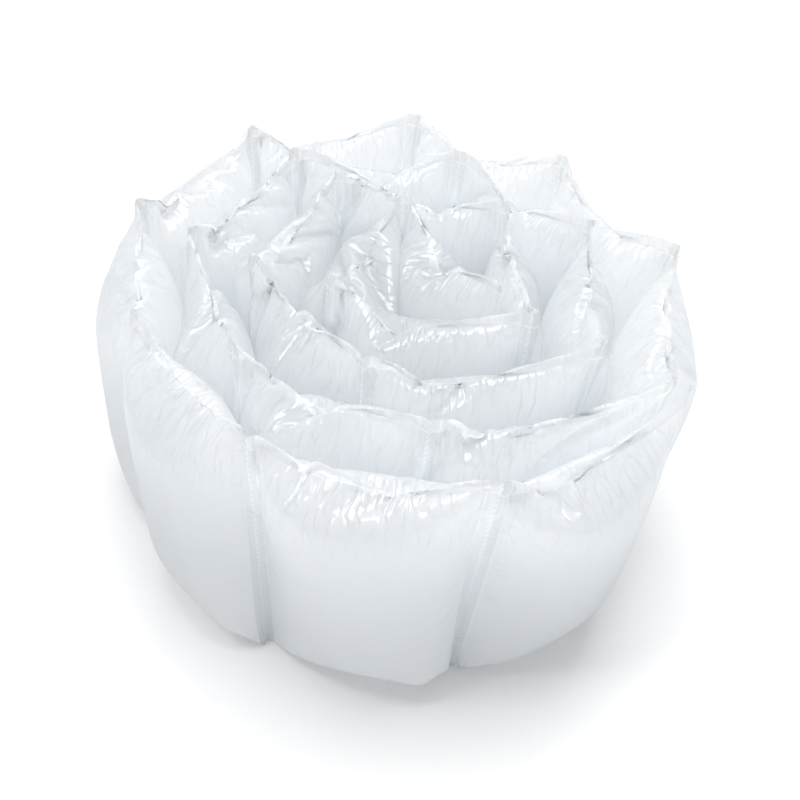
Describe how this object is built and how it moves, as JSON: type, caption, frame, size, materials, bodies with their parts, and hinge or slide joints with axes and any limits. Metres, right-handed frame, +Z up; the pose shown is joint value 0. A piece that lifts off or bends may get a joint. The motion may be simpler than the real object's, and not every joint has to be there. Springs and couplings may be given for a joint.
{
  "type": "air pillow film roll",
  "caption": "Coiled web of inflated clear film air pillows standing on edge, used as void fill and cushioning in cartons.",
  "frame": {"origin": "centre of the bounding box on the floor plane", "axes": "+Z up along the standing height of the film; the loose outer end of the coil lies at the front right, towards +X and -Y"},
  "size_m": [0.3926, 0.4454, 0.2],
  "materials": {
    "film": "thin milky translucent film, glossy, with fine crumples along the edges"
  },
  "bodies": {
    "root": {"pillow_film_web": "film"}
  },
  "joints": []
}
